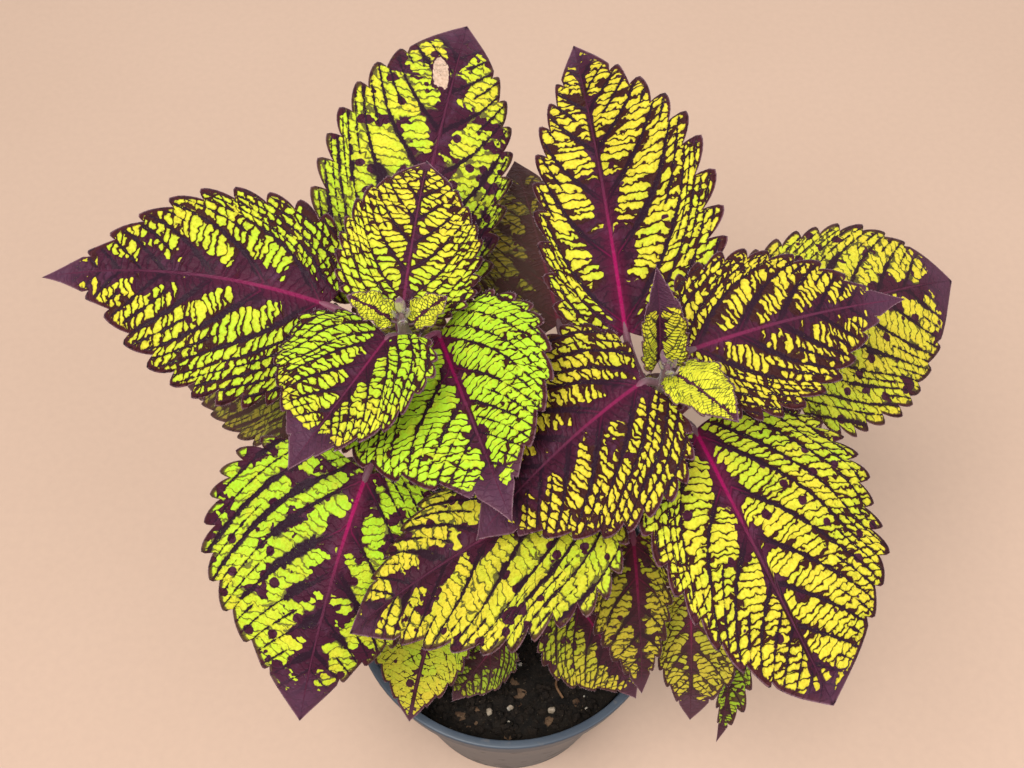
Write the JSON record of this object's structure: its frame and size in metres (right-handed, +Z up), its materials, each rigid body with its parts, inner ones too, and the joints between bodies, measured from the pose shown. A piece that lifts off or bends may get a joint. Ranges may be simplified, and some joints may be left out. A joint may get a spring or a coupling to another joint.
{
  "type": "potted coleus plant",
  "caption": "Leafy plant with pairs of toothed, variegated leaves on two upright shoots, growing in soil in a round tapered pot.",
  "frame": {"origin": "middle of the pot's flat base, on the surface that it stands on", "axes": "+Z up along the pot's axis; +X to the right along the two shoots, as the camera sees them; -Y towards the camera"},
  "size_m": [0.2896, 0.2198, 0.2767],
  "materials": {
    "pot": "slate grey, satin",
    "soil": "damp dark potting mix",
    "stem": "purple, finely downy",
    "leaf_yellow": "yellow cells in a dark purple net",
    "leaf_green": "yellow-green cells in a dark purple net",
    "leaf_dark": "brown-purple with dull yellow-green cells"
  },
  "bodies": {
    "root": {"pot": "pot", "soil": "soil", "stem": "stem", "leaf_left_0_left": "leaf_green", "leaf_left_0_right": "leaf_green", "leaf_left_1_back": "leaf_green", "leaf_left_1_front": "leaf_green", "leaf_left_2_left": "leaf_green", "leaf_left_2_right": "leaf_green", "leaf_left_3_back": "leaf_green", "leaf_left_3_front": "leaf_green", "leaf_left_4_left": "leaf_dark", "leaf_left_4_right": "leaf_dark", "leaf_left_5_front": "leaf_green", "leaf_left_5_back": "leaf_dark", "leaf_left_6_front": "leaf_green", "leaf_left_6_back": "leaf_dark", "leaf_right_0_back": "leaf_yellow", "leaf_right_0_front": "leaf_yellow", "leaf_right_1_right": "leaf_yellow", "leaf_right_1_left": "leaf_yellow", "leaf_right_2_back": "leaf_yellow", "leaf_right_2_front": "leaf_yellow", "leaf_right_3_right": "leaf_yellow", "leaf_right_3_left": "leaf_yellow", "leaf_right_4_back": "leaf_dark", "leaf_right_4_front": "leaf_yellow", "leaf_right_5_right": "leaf_dark", "leaf_right_5_left": "leaf_dark", "leaf_right_6_front": "leaf_yellow", "leaf_right_6_right": "leaf_green", "leaf_right_6_back": "leaf_dark"}
  },
  "joints": []
}
